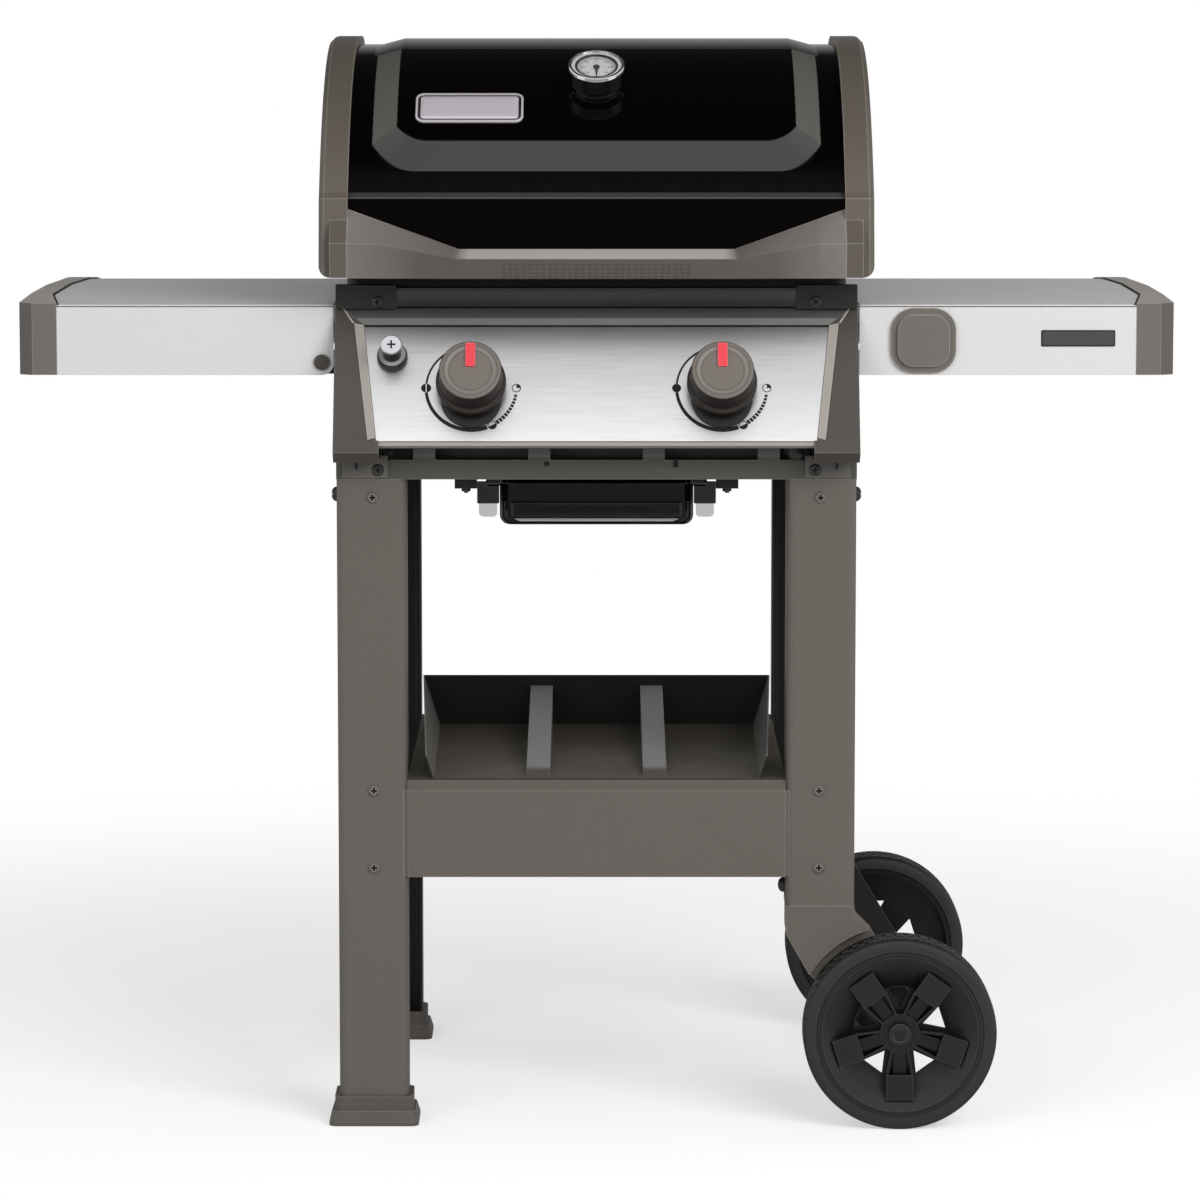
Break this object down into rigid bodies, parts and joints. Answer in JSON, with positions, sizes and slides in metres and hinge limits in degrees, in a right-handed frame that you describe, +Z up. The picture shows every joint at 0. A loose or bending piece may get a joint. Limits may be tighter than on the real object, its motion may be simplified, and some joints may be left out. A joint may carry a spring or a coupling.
{
  "type": "gas barbecue grill",
  "caption": "Gas barbecue grill: hinged domed lid with thermometer over a firebox, sloped control panel, folding side tables, open cart with shelf and wheels.",
  "frame": {"origin": "on the ground under the middle of the whole grill", "axes": "+X to the cook's right along the length, -Y to the front where the cook stands, +Z up"},
  "size_m": [1.219, 0.6221, 1.147],
  "materials": {
    "cart_paint": "satin taupe powder coat",
    "foot_plastic": "moulded taupe, fine texture",
    "zinc_steel": "zinc-plated",
    "tyre_rubber": "moulded tread",
    "rim_plastic": "moulded, fine texture",
    "firebox_paint": "cast, high-heat black paint",
    "grate_iron": "porcelain-coated",
    "burner_steel": "heat-tinted stainless",
    "valve_brass": "machined",
    "panel_steel": "brushed stainless sheet",
    "panel_plastic": "moulded taupe, fine texture",
    "knob_plastic": "moulded taupe, satin",
    "pointer_red": "gloss",
    "chrome": "polished",
    "dial_face": "printed",
    "clear_lens": "clear",
    "tray_steel": "black enamel",
    "tab_plastic": "moulded light grey",
    "foil": "thin foil",
    "table_paint": "light grey powder coat",
    "table_cap_plastic": "moulded taupe, fine texture",
    "cover_plastic": "moulded taupe, satin",
    "lid_enamel": "gloss black porcelain enamel",
    "lid_cast_paint": "cast, taupe powder coat",
    "handle_plastic": "satin moulding"
  },
  "bodies": {
    "cart": {"axle": "zinc_steel", "bottom_shelf": "cart_paint", "brace_front": "cart_paint", "brace_rear": "cart_paint", "burners": "burner_steel", "cart_screws": "zinc_steel", "control_bezels": "panel_plastic", "control_panel": "panel_steel", "corner_brackets": "cart_paint", "cross_rails": "cart_paint", "feet": "foot_plastic", "firebox": "firebox_paint", "grate_left": "grate_iron", "grate_right": "grate_iron", "heat_bars": "burner_steel", "hinge_brackets": "zinc_steel", "leg_front_left": "cart_paint", "leg_front_right": "cart_paint", "leg_rear_left": "cart_paint", "leg_rear_right": "cart_paint", "manifold": "zinc_steel", "panel_end_left": "panel_plastic", "panel_end_right": "panel_plastic", "panel_top": "panel_plastic", "side_rails": "cart_paint", "socket_cover": "cover_plastic", "table_cap_right": "table_cap_plastic", "table_frame_right": "table_paint", "table_mounts": "cart_paint", "table_pivots": "zinc_steel", "table_right": "table_paint", "tray_clips": "tab_plastic", "tray_rails": "tray_steel", "valves": "valve_brass", "wheel_bracket_front": "cart_paint", "wheel_bracket_rear": "cart_paint"},
    "lid": {"lid_shell": "lid_enamel", "lid_handle": "handle_plastic", "lid_cap_left": "lid_cast_paint", "lid_cap_right": "lid_cast_paint", "thermometer_case": "chrome", "thermometer_dial": "dial_face", "thermometer_lens": "clear_lens"},
    "thermometer_pointer": {"thermometer_pointer": "pointer_red"},
    "drip_tray": {"drip_tray": "tray_steel", "catch_pan": "foil"},
    "left_table": {"table_left": "table_paint", "table_cap_left": "table_cap_plastic", "table_frame_left": "table_paint"},
    "front_wheel": {"rim_front": "rim_plastic", "tyre_front": "tyre_rubber"},
    "rear_wheel": {"rim_rear": "rim_plastic", "tyre_rear": "tyre_rubber"},
    "left_stem": {"valve_stem_left": "zinc_steel"},
    "right_stem": {"valve_stem_right": "zinc_steel"},
    "left_knob": {"knob_left": "knob_plastic", "knob_pointer_left": "pointer_red"},
    "right_knob": {"knob_right": "knob_plastic", "knob_pointer_right": "pointer_red"},
    "igniter": {"igniter_button": "chrome"}
  },
  "joints": [
    {"name": "lid_hinge", "type": "hinge", "parent": "cart", "child": "lid", "pos_m": [0, 0.27, 0.895], "axis": [-1, 0, 0], "range_deg": [0, 88]},
    {"name": "pointer_turn", "type": "hinge", "parent": "lid", "child": "thermometer_pointer", "pos_m": [0, -0.14328, 1.09615], "axis": [0, 0.515, -0.8572], "range_deg": [0, 270]},
    {"name": "drip_tray_slide", "type": "slide", "parent": "cart", "child": "drip_tray", "axis": [0, -1, 0], "range_m": [0, 0.28]},
    {"name": "left_table_fold", "type": "hinge", "parent": "cart", "child": "left_table", "pos_m": [-0.288, 0, 0.811], "axis": [0, -1, 0], "range_deg": [0, 90]},
    {"name": "front_wheel_turn", "type": "hinge", "parent": "cart", "child": "front_wheel", "pos_m": [0.3209, -0.2345, 0.1025], "axis": [0, 1, 0], "continuous": true},
    {"name": "rear_wheel_turn", "type": "hinge", "parent": "cart", "child": "rear_wheel", "pos_m": [0.3209, 0.2835, 0.1025], "axis": [0, 1, 0], "continuous": true},
    {"name": "left_valve_turn", "type": "hinge", "parent": "cart", "child": "left_stem", "pos_m": [-0.1304, -0.25276, 0.78696], "axis": [0, -0.891, 0.454], "range_deg": [0, 270]},
    {"name": "right_valve_turn", "type": "hinge", "parent": "cart", "child": "right_stem", "pos_m": [0.1304, -0.25276, 0.78696], "axis": [0, -0.891, 0.454], "range_deg": [0, 270]},
    {"name": "left_knob_push", "type": "slide", "parent": "left_stem", "child": "left_knob", "axis": [0, 0.891, -0.454], "range_m": [0, 0.003], "stiffness_N_per_m": 600, "springref_m": -0.001},
    {"name": "right_knob_push", "type": "slide", "parent": "right_stem", "child": "right_knob", "axis": [0, 0.891, -0.454], "range_m": [0, 0.003], "stiffness_N_per_m": 600, "springref_m": -0.001},
    {"name": "igniter_push", "type": "slide", "parent": "cart", "child": "igniter", "axis": [0, 0.891, -0.454], "range_m": [0, 0.005], "stiffness_N_per_m": 400, "springref_m": -0.001}
  ]
}
